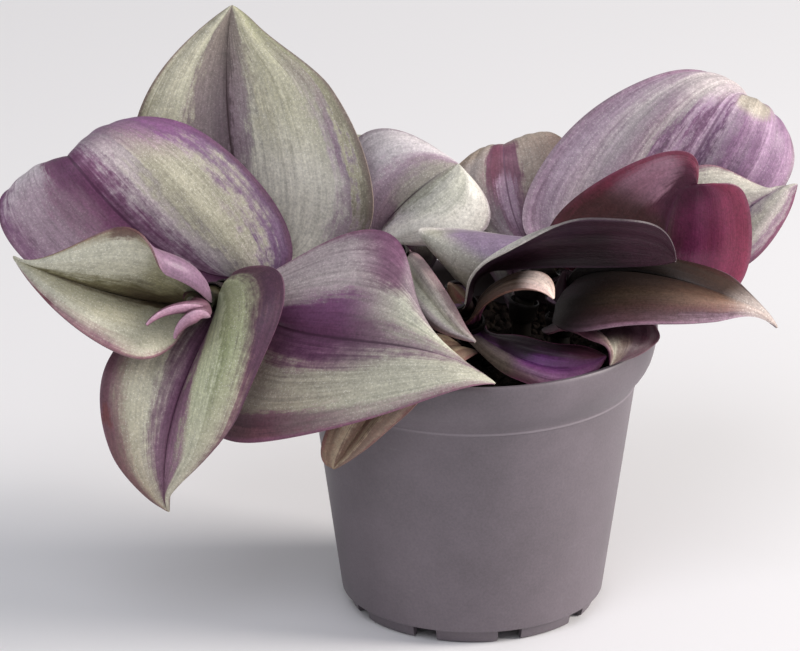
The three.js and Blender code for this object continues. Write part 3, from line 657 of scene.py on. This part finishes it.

    # Painted shade: low on the plant the colour darkens towards the soil.
    if shade_near_soil:
        height = add(tree, "SeparateXYZ", {0: point})
        low_shade = add(tree, "MapRange", {"Value": height.outputs[2], "From Min": .062, "From Max": .052, "To Max": .9})
        colour = add(tree, "Mix", {0: low_shade, 6: colour, 7: linear(SOIL_SHADE_TONE)}, data_type="RGBA")
    height = add(tree, "Math", {0: streak, 1: 1.6, 2: cells}, operation="MULTIPLY_ADD")
    bump = add(tree, "Bump", {"Height": height, "Strength": .35, "Distance": .00014})
    gloss = add(tree, "MapRange", {"Value": cells, "To Min": rough - .08, "To Max": rough + .1})
    skin = add(tree, "BsdfPrincipled", {"Base Color": colour, "Roughness": gloss, "IOR": 1.42, "Normal": bump})
    add(tree, "OutputMaterial", {"Surface": skin})
    return made


# The lower skin has no silver cells: plum to magenta, satin, with the main veins a little paler. The sleeve is thin,
# pale and half clear, striped with purple along the stem, but drawn in dark tones: painted shade.
under_plum = blade_skin(
    "leaf_under_plum",
    "-1:#6A3450 -.5:#5C2C46 0:#54283F .5:#5C2C46 1:#6A3450",
    line="#7A4862", edge="#8A5068", painted_sparkle=0, veins=.08, rough=.42, seed=31.0)
under_pale = blade_skin(
    "leaf_under_pale",
    "-1:#8A6C82 -.5:#745870 0:#584254 .5:#745870 1:#8A6C82",
    line="#64485E", edge="#8E7082", painted_sparkle=0, veins=.16, rough=.42, seed=33.0)
sleeve_skin = blade_skin(
    "leaf_sleeve",
    "-1:#342D25 -.4:#2D2125 0:#312D22 .5:#2C1E25 1:#342D25",
    line="#35272C", edge="#463E32", painted_sparkle=0, veins=.14, ragged=(.2, .1), rough=.4, shade_near_soil=True, seed=35.0)


def leaf(name, stem, joint, tip, spine, left, right, upper, lower=under_plum, bow=(1.5, 1.5), wave=(.4, 2.5, 0), neck=2,
         out=None, rolls=(), groove=.35, ripple=.08, beak=(0, 0)):
    """Makes one leaf: the blade with its two faces and thin margin, and the sleeve round the stem, in one piece.

    The tip, and the points along the spine and both margins, are in millimetres from the pot's axis.
    """
    bow = (bow, bow) if isinstance(bow, (int, float)) else bow
    beak = (beak, beak) if isinstance(beak, (int, float)) else beak
    grid, u, spread = blade_points(stem, joint, tip, spine, left, right, bow, wave, neck, out, rolls, groove, ripple,
                                   beak)
    r = np.abs(spread)[None, :, None]
    half = BLADE / 2 * (1 - EDGE_THINNING * r ** 3) * (1 - TIP_THINNING * u[:, None, None] ** 6)
    keel = MIDRIB_KEEL * np.exp(-(spread / MIDRIB_WIDTH) ** 2)[None, :, None] * (1 - u)[:, None, None] ** .7
    parts = [shell(grid, u, spread, half, keel), sleeve_round(stem, joint)]
    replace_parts(joined("blade_" + name, parts, [upper, lower, sleeve_skin]), "leaf_" + name)


def rolled_tip(name, stem, tips, upper, taper=1.6, flat=1):
    """A growing tip: the youngest leaves, still rolled into spears. Each is given by its points and its radius."""
    rows, columns, joint, turns, overlap, thin, half = 27, 61, .955, 1.45, .16, .12, .13
    parts = []
    for points, radius in tips:
        u = np.linspace(0, 1, rows)
        line = line_through([on_stem(stem, joint)[0], *points], u)
        axis = unit(np.gradient(line, axis=0))
        first = unit(np.cross(axis, np.array([.25, .9, .35])))
        second = np.cross(axis, first)
        spread = np.linspace(-1, 1, columns)
        angle = (spread + 1) / 2 * turns * math.tau
        girth = radius * (1 - u ** taper) ** .85 + thin
        reach = girth[:, None] * (1 + overlap * (angle / math.tau)[None, :])
        grid = line[:, None] + reach[..., None] * (first[:, None] * np.cos(angle)[None, :, None]
                                                    + second[:, None] * np.sin(angle)[None, :, None] * flat)
        parts.append(shell(grid, u, spread, half))
    return joined(name, parts, [upper, under_pale, sleeve_skin])


# The left shoot carries the biggest leaves. The topmost stands upright behind the rest, silver green, with a wide
# grey-mauve band along its midrib that is fuller on the left half. The band just right of the midrib and a pale patch
# on the right half near the foot are painted lighter: painted light where the leaf lies in shade.
top_skin = blade_skin(
    "leaf_top_upper",
    "-1:#7C7566 -.95:#B2AD93 -.8:#D0CDB6 -.66:#C2BEA8 -.56:#CECBB4 -.46:#BAB4A4 -.38:#85787A -.2:#86787C "
    "-.02:#7A6870 .04:#A08C96 .17:#A3959A .24:#B8B4A6 .29:#D0CDBA .34:#B6B29B .42:#D0CDB8 .5:#BBB89F .6:#CCC9B4 "
    ".68:#BBB8A4 .76:#B0A4A6 .83:#90798A .9:#958690 .95:#A9A58F 1:#807A6C",
    tip="-1:#8B8474 -.62:#C9C6B0 -.5:#BDBAA2 -.41:#857B74 -.03:#776D67 .04:#8C817A .3:#8F847C .38:#C2BEA6 "
        ".46:#AFAB91 .56:#C4C0A6 .75:#AEAD8F 1:#86866C",
    fade=(.55, .95), line="#4E3F42", edge="#7D6C66", veins=.2, ragged=(.06, .15), seed=1.0,
    patches=[(.1, -.1, .26, .6, "#8A6A7C", .6), (.3, .5, .34, .5, "#E2DED2", .8), (.2, .88, .32, .16, "#8F7488", .65)])
leaf("top", "a", .62, (-39, 15, 97), spine=[(-38, 10.5, 66), (-40, 13, 81.5)], left=[(-54, 8, 68), (-52.5, 11.5, 84)],
     right=[(-20, 3, 58.9), (-16.3, 2, 70.1), (-23.6, 8, 86)], upper=top_skin, beak=(0, .3))

# The left one arches over and nods away at its tip. Its band is deep purple, its margins are purple all round.
left_skin = blade_skin(
    "leaf_left_upper",
    "-1:#6E466A -.92:#7A5278 -.82:#9A8496 -.7:#B5A5B0 -.5:#B0A2AA -.36:#937886 -.26:#79526C -.08:#653C5A .05:#6A405F "
    ".13:#7E5C76 .2:#9A8894 .3:#B2A7AA .41:#A49C9A .47:#BCB5A9 .53:#A59F93 .59:#B9B4A6 .66:#A8A296 .73:#B7B1A5 "
    ".78:#A2959A .83:#77607A .91:#644A66 1:#5B4156",
    line="#43223C", edge="#5E3F54", veins=.18, ragged=(.07, .17), seed=2.0,
    patches=[(.8, -.62, .3, .36, "#D0C6CC", .85), (.5, -.6, .25, .5, "#8E6C82", .6),
             (.45, .6, .25, .3, "#98987F", .5), (.86, -.98, .22, .3, "#74486C", .85),
             (.84, .96, .3, .85, "#7C527A", .85)])
leaf("left", "a", .684, (-63, 13, 65), spine=[(-53.5, -2.5, 64), (-64, -4, 76.5)],
     left=[(-57.7, .5, 50.5), (-72.9, 0, 59), (-76, 2, 68.5)],
     right=[(-29.4, .5, 61.3), (-37.9, 3, 74.6), (-53.1, 5.5, 81.4)], upper=left_skin, ripple=.12)

# The front one reaches across the pot to its rim: a broad dark purple band with silver green on both sides.
front_skin = blade_skin(
    "leaf_front_upper",
    "-1:#937889 -.9:#9A8A92 -.72:#9E9298 -.55:#B4ABA9 -.41:#98828C -.29:#784D71 -.05:#603A56 .1:#643E5B .2:#755169 "
    ".28:#8A7078 .36:#A39C8E .5:#AAA492 .6:#9A9284 .68:#A09886 .78:#74555F .92:#5E3E48 1:#6A464E",
    tip="-1:#7D6775 -.82:#8C7A84 -.7:#B3B0A2 -.5:#C4C5B2 -.25:#BEBDAA -.08:#8E7C80 .05:#8F7A82 .18:#B0AE9E "
        ".7:#B8B6A4 .9:#9A8A88 1:#7D5C66",
    fade=(.42, .72), line="#3E2437", edge="#7E5068", veins=.25, ragged=(.06, .15), seed=3.0,
    patches=[(.55, -.82, .14, .44, "#6F4863", .9), (.76, -.98, .15, .6, "#8F7B87", .75),
             (.3, -.65, .24, .4, "#B6A9AB", .7)])
leaf("front", "a", .765, (3, -33, 50), spine=[(-26, -19, 53), (-11, -28.5, 54.5)],
     left=[(-28.4, -8, 62), (-14.5, -11, 67.5), (-9.5, -20, 60)], right=[(-40, -20, 35.5), (-17.5, -33, 44)],
     upper=front_skin)

# The hanging one twists as it drops: green silver, purple down the midrib, and a dark margin that curls up.
down_skin = blade_skin(
    "leaf_down_upper",
    "-1:#7A5460 -.95:#583C46 -.84:#5F444E -.74:#85806E -.64:#A9AE8C -.45:#8F9672 -.38:#B8BD9E -.22:#B8BB9B "
    "-.13:#7E5F70 0:#68465D .12:#77546B .24:#938184 .34:#C0BDA9 .6:#BDB9A3 .73:#8E7C74 .86:#74525C 1:#64424C",
    tip="-1:#7A5460 -.86:#85646A -.74:#B2A999 -.3:#BEBAA8 -.2:#8C6C7E .15:#86667A .3:#A79E90 .52:#A59A86 .7:#775A58 "
        "1:#664646",
    fade=(.5, .9), line="#4A2E42", edge="#6A4C58", veins=.2, seed=4.0,
    patches=[(.33, .78, .035, .12, "#5A4A3C", .8), (.6, .93, .05, .1, "#6A3A3A", .8),
             (.5, -.97, .3, .12, "#4E2E48", .6)])
leaf("down", "a", .82, (-49, -20, 23), spine=[(-42.9, -13, 50.1), (-46.9, -22, 43.9), (-49.4, -23, 33)],
     left=[(-35.4, -16, 63.7), (-30.2, -22, 62.9), (-32.7, -27, 54.2), (-39.8, -27, 37)],
     right=[(-56.7, -17, 51.1), (-59, -24, 37.9)], upper=down_skin, bow=(2.2, 1.5), out=(.2, -.9, -1),
     beak=(.88, .15))

# The youngest leaf is boat-shaped, silver green with an olive band. Its upper margin rolls in and shows pale pink.
young_skin = blade_skin(
    "leaf_young_upper",
    "-1:#94707A -.93:#A79D90 -.8:#B1AF9C -.4:#ADAB98 -.16:#A09C84 -.08:#5E5340 .02:#43382B .24:#4E442F .36:#6E6848 "
    ".48:#B4B2A0 .75:#C8C6B8 .9:#ABA48E .96:#8A6E60 1:#8A606A",
    tip="-1:#8F6A74 -.6:#B1AF9E -.15:#A8A48C 0:#5E5340 .13:#7A7558 .3:#BCBAA8 .8:#BEBCAA 1:#8E7C64",
    fade=(.32, .6), line="#3E352A", edge="#7C5860", seed=5.0,
    patches=[(.36, .62, .16, .5, "#8E8A6C", .75), (.62, .97, .05, .14, "#5A3A38", .8),
             (.8, -.98, .06, .12, "#6A2E3C", .8)])
leaf("young", "a", .913, (-73, -20, 66.5), spine=[(-52, -15, 57.1), (-62.5, -21, 62.3)],
     left=[(-52.8, -27, 52), (-64, -27, 58)], right=[(-41.2, -20.5, 66), (-48.8, -24, 73.6), (-61.8, -24, 70.6)],
     upper=young_skin, lower=under_pale, neck=2.8, rolls=[(1, -.2, .66, .62, 178)])

# The bud is the next leaf, still rolled up, pink outside.
bud_skin = blade_skin(
    "leaf_bud_upper",
    "-1:#8A6478 0:#62404E .38:#4E323C .58:#6E4A5A .78:#A27A8E 1:#BC98AC",
    line="#5E3E4C", edge="#B08A9E", painted_sparkle=.1, ragged=(.02, .05), seed=6.0)
bud = rolled_tip("rolled_bud", "a", [([(-43.9, -23.4, 59.4), (-47.3, -26.5, 60.2), (-51.8, -29, 58.4)], 1.65),
                                     ([(-43.4, -24.6, 59), (-45.4, -26.6, 58.3), (-47.4, -27.5, 55.5)], 1.7)],
                 bud_skin, taper=1.05, flat=.6)
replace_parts(bud, "leaf_bud")


# The middle shoot. Its end leaf lies open in the centre, almost white, with a dark fold and lilac beside it; a
# narrow curled one hangs by its side, and one reaches back and left behind the top leaf.
centre_skin = blade_skin(
    "leaf_centre_upper",
    "-1:#B1A9AE -.85:#C8C1C3 -.55:#CEC7CA -.38:#A08C9A -.15:#85707C 0:#6E5A64 .08:#8F8A84 .2:#C1BBBB .35:#D7D3CA "
    ".7:#DCD9D0 .92:#CFCAC2 1:#A9A19C",
    line="#4A3F42", edge="#9A8C92", seed=7.0,
    patches=[(.75, .15, .35, .5, "#A3A894", .5), (.35, -.7, .3, .5, "#A596A4", .6)])
leaf("centre", "b", .955, (-2.5, 10, 71.5), spine=[(-13.5, 6.5, 63.5), (-8.5, 7, 68.5)],
     left=[(-21.5, 10, 66.5), (-18, 13, 75.6)], right=[(-8.5, 3, 60), (1.5, 3, 62.5)], upper=centre_skin)
curled_skin = blade_skin(
    "leaf_curled_upper",
    "-1:#A6888D -.7:#998586 -.45:#AA9F99 -.3:#BFBBAD .2:#C3C1B1 .4:#A79D9B .7:#928287 1:#B19197",
    line="#7A666A", edge="#A8848E", seed=8.0)
leaf("curled", "b", .6, (0, -22.5, 53), spine=[(-9, -11, 58.5), (-4.5, -19, 55.5)],
     left=[(-7, -9, 60.5), (-2.5, -18, 56)], right=[(-14, -8, 56.5), (-8.5, -17, 54.5)], upper=curled_skin)
# The back leaves' feet are painted near black: painted shade.
plain_skin = blade_skin(
    "leaf_back_upper",
    "-1:#6E4A63 -.9:#8A6F7C -.75:#ABA69C -.45:#B2AF9E -.32:#8E707F -.1:#6C4761 .08:#725066 .25:#948085 .36:#B1AE9E "
    ".75:#AAA996 .9:#846376 1:#6E4A63",
    line="#46283F", edge="#6E4A60", seed=9.0,
    patches=[(0, 0, .2, 3, "#30242A", .9)])
leaf("back_left", "b", .3, (-24, 44, 64), spine=[(-13, 21, 57), (-19, 32, 63)], left=[(-24, 18, 60), (-31, 31, 66)],
     right=[(-4, 23, 58), (-9, 36, 64)], upper=plain_skin)


# The right shoot. Two leaves lean out over the back of the pot, a small one stands behind the centre, the largest
# rises to the right, one points out sideways, and the last turns its magenta lower side to the front.
leaf("back_mid", "c", .08, (3, 46, 49), spine=[(6, 21, 54), (5, 34, 55)], left=[(-1, 20, 55), (-4, 34, 55)],
     right=[(14, 22, 56), (13, 35, 56)], upper=plain_skin)
small_skin = blade_skin(
    "leaf_small_upper",
    "-1:#8A7A78 -.85:#A79F98 -.55:#A99E9E -.4:#93808A -.26:#A1949A -.18:#8A6A7E 0:#82657A .16:#8A6E80 .26:#A59694 "
    ".4:#8E7880 .55:#A69C98 .85:#A89A90 1:#9A7E76",
    tip="-1:#96867E -.7:#A99E9A -.42:#A39792 -.34:#7A5062 -.2:#764658 .02:#7A4E62 .16:#80586A .26:#A6988E .7:#AE9A8E "
        "1:#9C7E74",
    fade=(.22, .52), line="#6A4E62", edge="#9A8474", ragged=(.05, .1), seed=10.0,
    patches=[(.8, -.9, .3, .6, "#A08C74", .6), (.95, .6, .3, 1.2, "#B8A898", .8),
             (.34, -.03, .17, .17, "#BCA0B6", .8)])
leaf("small_back", "c", .35, (6.5, 26, 64), spine=[(6, 12, 64.5), (5, 16, 72)], left=[(-3.5, 12, 64), (-1, 15, 71)],
     right=[(17.5, 13, 63.5), (14.5, 18, 73.5)], upper=small_skin, bow=.5, groove=.1)
leaf("back_right", "c", .19, (33, 43, 68), spine=[(19, 23, 62), (27, 34, 66.5)], left=[(13, 27, 62), (20, 40, 67)],
     right=[(29, 20, 61), (36, 32, 66)], upper=plain_skin)
big_skin = blade_skin(
    "leaf_right_upper",
    "-1:#8C6580 -.92:#A4869B -.82:#AF98A9 -.66:#B7ADAF -.48:#9E8997 -.36:#B2A7AA -.29:#80607C -.22:#B9A1B4 "
    "-.16:#A88EA6 -.11:#74526F -.03:#AE95AB .02:#A489A2 .06:#6E4C6C .14:#AC98A9 .27:#7E5E7C .4:#9D8099 .5:#7E5E7C "
    ".62:#A0849E .78:#8A6C88 .92:#9D7F99 1:#7E5E76",
    line="#6A4A68", edge="#8E7C88", veins=.24, ragged=(.04, .1), seed=11.0,
    patches=[(.8, .3, .1, .32, "#B3AC9A", .85), (.85, -.35, .2, .4, "#C4BBBA", .75),
             (.3, -.75, .3, .5, "#B09EAE", .4)])
leaf("right_big", "c", .63, (46, 25, 76), spine=[(33, 11.5, 67.5), (40.5, 12.5, 80)],
     left=[(8, 9, 62), (14.5, 13, 75), (30.5, 17, 84.5)], right=[(43.5, 12, 60.5), (52.5, 15, 70.5)], upper=big_skin,
     groove=.12, ripple=.22)
point_skin = blade_skin(
    "leaf_pointing_upper",
    "-1:#8E787F -.88:#BDB8AC -.5:#C2BDB2 -.2:#B3A9A6 -.08:#8A7084 .04:#7E6480 .14:#A89C9E .35:#BDB8AC .6:#B5ACA8 "
    ".74:#94788A .84:#A08E94 .93:#7A4C66 1:#6A344E",
    line="#6A465F", edge="#8A5A6C", ragged=(.08, .12), seed=12.0)
leaf("right_tip", "c", .8, (52.5, 7, 69), spine=[(37.5, 7, 59.5), (45, 6.5, 65.5)],
     left=[(30.3, 8.5, 65.9), (36.7, 8.5, 71.8), (44.9, 8.5, 69.2)], right=[(41.5, 7, 53.5), (50, 6.5, 62)],
     upper=point_skin)
# On the magenta lower side a dark patch near the tip is painted shade against the lamp's shine, and a pale lilac patch
# on one lobe is a painted sheen.
magenta_under = blade_skin(
    "leaf_magenta_under",
    "-1:#8A3450 -.75:#772A48 -.4:#6A264A -.1:#561C39 .05:#4A1F34 .2:#5C2A40 .6:#6A2A40 1:#7C3248",
    line="#4E203A", edge="#82465C", painted_sparkle=0, veins=.07, rough=.4, seed=13.0,
    patches=[(.9, .1, .26, .8, "#481C32", .85), (.73, .6, .15, .42, "#A67C8E", .72), (.5, .5, .2, .7, "#3C2620", .8),
             (.25, .5, .25, .9, "#552A32", .7)])
leaf("magenta", "c", .965, (35.7, -3, 72.5), spine=[(30.5, -1, 58.5), (31.5, -2, 67.5)],
     left=[(42.5, -1, 54.2), (44.8, -2, 63.3), (43.1, -4, 71.7)],
     right=[(13.5, 2, 57.5), (14, 1, 66.5), (27.6, -1, 76.6)], upper=point_skin, lower=magenta_under, bow=(-1, -1))


# The short front shoots. An old brown leaf hangs over the rim under the front leaf, a bright purple one lies inside
# the rim, and a withered tan one curls in the middle. A long boat-shaped leaf shows its lower side above them,
# painted near-black plum: painted shade.
old_skin = blade_skin(
    "leaf_old_upper",
    "-1:#7D514F -.8:#806C5E -.55:#6E5448 -.4:#93826C -.15:#63463D 0:#917E6A .2:#684B40 .4:#95846E .65:#725848 "
    ".85:#806856 1:#7D4948",
    line="#54383A", edge="#80605A", painted_sparkle=.25, veins=.2, ragged=(.12, .05), seed=14.0)
leaf("old", "d", .12, (-22.5, -24, 32), spine=[(-8.5, -26.5, 51.5), (-16.5, -27.5, 42.5)],
     left=[(-5.4, -31, 49.9), (-13.7, -30.5, 41.2)], right=[(-12.5, -22, 52), (-22.5, -25, 41.5)], upper=old_skin,
     bow=1)
# The purple leaf's far half and one spot on it are painted near black: painted shade.
violet_skin = blade_skin(
    "leaf_rim_upper",
    "-1:#1E0E18 -.6:#24121E -.35:#3C203A -.15:#5C2866 .1:#66306F .3:#80487F .5:#86627E .75:#74565C 1:#6B334E",
    tip="-1:#4A2A34 -.4:#5A3040 0:#6E3E6A .5:#805070 1:#6B334E",
    fade=(.6, .9), line="#3A163E", edge="#7A4660", seed=15.0,
    patches=[(.2, .55, .25, .8, "#6E6656", .8), (.75, .4, .3, .8, "#7E4A7A", .5),
             (.36, -.4, .17, .55, "#170C12", .85)])
leaf("rim_purple", "d", .36, (21, -17, 48.5), spine=[(6, -17, 48.5), (13, -20, 47.5)],
     left=[(6, -12, 50), (15, -14.5, 49.5)], right=[(4.5, -18.5, 46.5), (13, -22.5, 44.5)], upper=violet_skin, bow=1)
# The tan leaf's body is dark brown, partly its withered colour and partly painted shade; its tip is pale.
tan_skin = blade_skin(
    "leaf_tan_upper",
    "-1:#2B1E19 -.6:#372A23 -.2:#30241D 0:#261C17 .3:#30241B .7:#43342A 1:#4F3B34",
    tip="-1:#C4A699 -.3:#E2CCC0 .2:#EAD8CC 1:#D6B8B0",
    fade=(.58, .8), line="#3E2D26", edge="#6A4A40", painted_sparkle=.2, veins=.18, seed=16.0)
leaf("tan", "d", .62, (12.3, -22.5, 60.3), spine=[(2.7, -16, 59), (8.2, -19.5, 62.8)],
     left=[(3.1, -13.6, 58.8), (9.5, -17.4, 62.8)], right=[(2.7, -19, 58.9), (7.6, -22.5, 62)], upper=tan_skin,
     bow=.5, wave=(0, 1, 0))
boat_skin = blade_skin(
    "leaf_boat_upper",
    "-1:#9A988B -.8:#ADAB9F -.5:#A9A69D -.12:#A4A098 .1:#B1AEA4 .6:#BAB6AC .8:#CCC9C0 1:#D0CDC4",
    tip="-1:#8E8588 -.5:#75617A .1:#8D858B .8:#6E5A6A .9:#5A4254 1:#4A3442",
    fade=(.5, .75), line="#857A80", edge="#C9C4BE", edge_width=.06, seed=17.0,
    patches=[(.4, -.45, .17, .75, "#7E6A86", .9), (.07, 0, .07, 1.2, "#A09C8A", .5), (.95, 1, .6, .4, "#3A2A34", .95)])
boat_under_painted_shade = blade_skin(
    "leaf_boat_under",
    "-1:#220A17 -.5:#1B0812 0:#17060E .4:#200A15 .8:#2E1221 1:#2E1221",
    line="#352330", edge="#4A3444", painted_sparkle=0, veins=.1, seed=18.0,
    patches=[(.3, .7, .35, .5, "#33202F", .7), (.9, .5, .25, .8, "#3C1E2E", .7)])
leaf("boat", "d", .95, (32, -15, 64), spine=[(5.6, -14, 62.9), (20, -16, 64)],
     left=[(-7.5, -8, 67), (7, -5, 64.5), (22, -7, 66.5)], right=[(4.8, -21, 68.7), (21.5, -25, 75)], upper=boat_skin,
     lower=boat_under_painted_shade, bow=1, rolls=[(1, .06, .6, .87, -55)])
# The sill leaf's body and foot are painted near black: painted shade. Only its tip shows its own colours.
sill_skin = blade_skin(
    "leaf_sill_upper",
    "-1:#2A2022 -.7:#261C14 -.3:#201613 0:#1D130F .3:#261C16 .6:#34271D .85:#3D2427 1:#573D48",
    tip="-1:#3C2A2C -.7:#37241D -.3:#3E2A20 0:#34221D .3:#584133 .55:#856454 .78:#724B4B .88:#4D2F3D .95:#896D7E "
        "1:#9D8397",
    fade=(.5, .86), line="#1A1412", edge="#7E5E70", painted_sparkle=.8, ragged=(.02, .1), seed=19.0,
    patches=[(.05, 0, .42, 3, "#0E0A09", .95), (1, .3, .22, 1.5, "#C6B9B3", .72)])
leaf("sill", "e", .95, (48.5, -12, 51.5), spine=[(20.5, -6.5, 59), (34.5, -12, 59)],
     left=[(21, -4, 60), (36.5, -5, 59.5)], right=[(16.5, -22, 55), (34, -20, 55.5)], upper=sill_skin,
     lower=under_pale, beak=.35)
# The body of the leaf at the rim is painted dark, near black at its foot: painted shade. Only its tip shows silver.
rim_skin = blade_skin(
    "leaf_rim_tip_upper",
    "-1:#452430 -.6:#381F29 -.2:#322223 .2:#3A2C28 .6:#40252F 1:#5A3644",
    tip="-1:#4E2C38 -.5:#40252F -.25:#75665C -.1:#A29C8C .3:#A9A393 .6:#8A746C 1:#84606A",
    fade=(.62, .85), line="#6A5A52", edge="#75525E", seed=20.0,
    patches=[(0, 0, .32, 3, "#140C0E", .9)])
leaf("rim_tip", "e", .5, (21.5, -22, 49), spine=[(17.5, -13, 52), (20.5, -19.5, 52.5)],
     left=[(27.1, -8, 50.9), (29.5, -14, 50.1)], right=[(12, -11, 50.5), (18, -20, 53)], upper=rim_skin, bow=1)

# Every other shoot ends in its own rolled spear, a few millimetres long, that closes the stem's end. Shoot e's spear
# takes the boat leaf's near-black lower skin: painted shade.
for letter, tip, skin in (("b", (-16.5, 1, 62), bud_skin), ("c", (33, -1, 50), bud_skin),
                          ("d", (-4, -12, 59), old_skin), ("e", (14.5, -4, 58), boat_under_painted_shade)):
    rolled_tip("rolled_tip_" + letter, letter, [([on_stem(letter, 1.0)[0], tip], 1.75)], skin)
